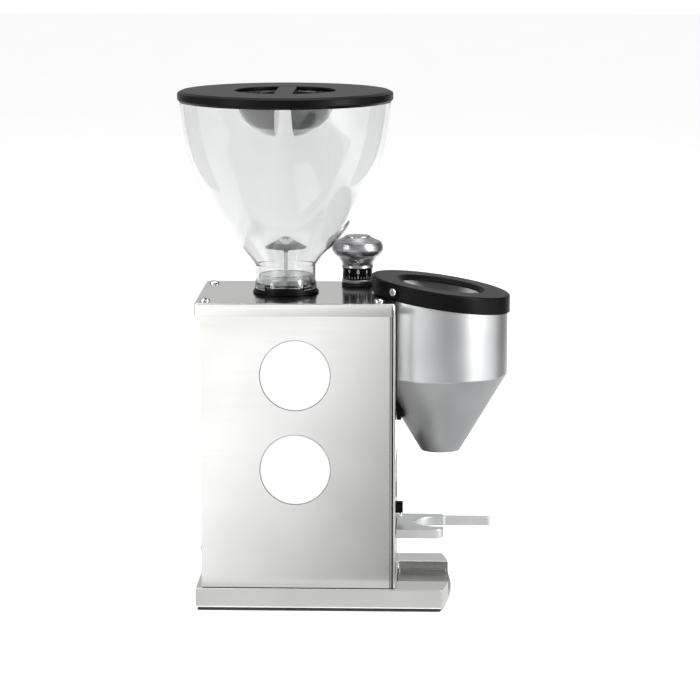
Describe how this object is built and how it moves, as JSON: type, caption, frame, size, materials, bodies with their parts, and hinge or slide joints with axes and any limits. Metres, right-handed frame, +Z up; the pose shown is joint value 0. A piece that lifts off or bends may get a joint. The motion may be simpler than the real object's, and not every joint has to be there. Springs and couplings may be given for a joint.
{
  "type": "burr coffee grinder",
  "caption": "Compact espresso grinder: slim steel case, clear bean hopper with lid, offset adjusting knob, slanted-cap dosing funnel and a forked rest over a base with a slide-out tray.",
  "frame": {"origin": "on the worktop plane, under the axis of the hopper and the burrs", "axes": "+Z up; -Y the front, where the funnel and the fork are; +X to the right of a person facing the front"},
  "size_m": [0.1638, 0.2532, 0.39],
  "materials": {
    "steel_brushed": "brushed",
    "steel_polished": "polished",
    "steel_plain": "mill finish",
    "aluminium_satin": "satin blasted",
    "aluminium_cast": "as cast",
    "black_plastic": "satin moulded",
    "black_glass": "gloss",
    "clear_plastic": "clear moulded",
    "smoked_plastic": "smoked, moulded",
    "white_lacquer": "satin lacquer",
    "rubber": "matt",
    "copper_wire": "enamelled",
    "circuit_board": "soldered"
  },
  "bodies": {
    "case": {"base_mat": "rubber", "base_plinth": "steel_polished", "side_panel_left": "steel_polished", "side_panel_right": "steel_polished", "side_inlay_left": "white_lacquer", "side_inlay_right": "white_lacquer", "rear_panel": "steel_brushed", "front_panel": "steel_brushed", "front_fascia": "steel_polished", "display_glass": "black_glass", "top_cover": "steel_polished", "side_frame_left": "steel_plain", "side_frame_right": "steel_plain", "cover_screw_rear_left": "steel_polished", "cover_screw_rear_right": "steel_polished", "cover_screw_front_left": "steel_polished", "cover_screw_front_right": "steel_polished", "motor_bell_top": "aluminium_cast", "motor_bell_bottom": "aluminium_cast", "motor_stator": "steel_plain", "stator_windings": "copper_wire", "bearing_top": "steel_plain", "bearing_bottom": "steel_plain", "grind_chamber": "aluminium_cast", "grounds_chute": "steel_brushed", "knob_flange": "steel_brushed", "hopper_collar": "black_plastic", "dosing_funnel": "aluminium_satin", "funnel_cap": "black_plastic", "cap_screw_left": "steel_polished", "cap_screw_right": "steel_polished", "funnel_bracket": "black_plastic", "portafilter_fork": "aluminium_satin", "fork_bolt_left": "steel_plain", "fork_bolt_right": "steel_plain", "start_switch": "black_plastic", "inlet_socket": "black_plastic", "switch_housing": "black_plastic", "control_board": "circuit_board", "run_capacitor": "white_lacquer"},
    "rotor": {"rotor_shaft": "steel_plain", "rotor_core": "steel_plain", "cooling_fan": "black_plastic", "lower_burr_carrier": "aluminium_cast", "lower_burr": "steel_plain", "carrier_nut": "steel_plain"},
    "knob": {"adjust_knob": "aluminium_satin", "dial_ring": "black_plastic", "knob_spindle": "steel_plain", "adjusting_pinion": "steel_plain"},
    "ring_gear": {"adjusting_ring": "aluminium_cast"},
    "burr_slide": {"upper_burr_carrier": "aluminium_cast", "upper_burr": "steel_plain"},
    "hopper_unit": {"hopper": "clear_plastic", "bean_guard": "clear_plastic"},
    "lid": {"hopper_lid": "black_plastic", "lid_scoops": "smoked_plastic"},
    "tray": {"grounds_tray": "steel_brushed"},
    "rocker": {"power_rocker": "black_plastic"},
    "plunger": {"start_plunger": "black_plastic"}
  },
  "joints": [
    {"name": "burr_spin", "type": "hinge", "parent": "case", "child": "rotor", "pos_m": [0, 0, 0.1], "axis": [0, 0, 1], "continuous": true},
    {"name": "knob_turn", "type": "hinge", "parent": "case", "child": "knob", "pos_m": [0.0385, -0.0536, 0.24], "axis": [0, 0, 1], "range_deg": [-361, 721]},
    {"name": "ring_turn", "type": "hinge", "parent": "case", "child": "ring_gear", "pos_m": [0, 0, 0.229], "axis": [0, 0, 1], "range_deg": [-160, 80]},
    {"name": "burr_gap_slide", "type": "slide", "parent": "case", "child": "burr_slide", "axis": [0, 0, 1], "range_m": [-0.00046, 0.0009]},
    {"name": "hopper_lift", "type": "slide", "parent": "case", "child": "hopper_unit", "axis": [0, 0, 1], "range_m": [0, 0.06]},
    {"name": "lid_lift", "type": "slide", "parent": "hopper_unit", "child": "lid", "axis": [0, 0, 1], "range_m": [0, 0.05]},
    {"name": "tray_slide", "type": "slide", "parent": "case", "child": "tray", "axis": [0, -1, 0], "range_m": [0, 0.06]},
    {"name": "rocker_tilt", "type": "hinge", "parent": "case", "child": "rocker", "pos_m": [-0.02, 0.057, 0.033], "axis": [1, 0, 0], "range_deg": [0, 12]},
    {"name": "plunger_press", "type": "slide", "parent": "case", "child": "plunger", "axis": [0, 1, 0], "range_m": [0, 0.003], "stiffness_N_per_m": 300, "springref_m": -0.001}
  ],
  "couplings": [
    {"joint": "knob_turn", "follows": "ring_turn", "ratio": -4.5},
    {"joint": "burr_gap_slide", "follows": "ring_turn", "m_per_rad": -0.00031831}
  ]
}
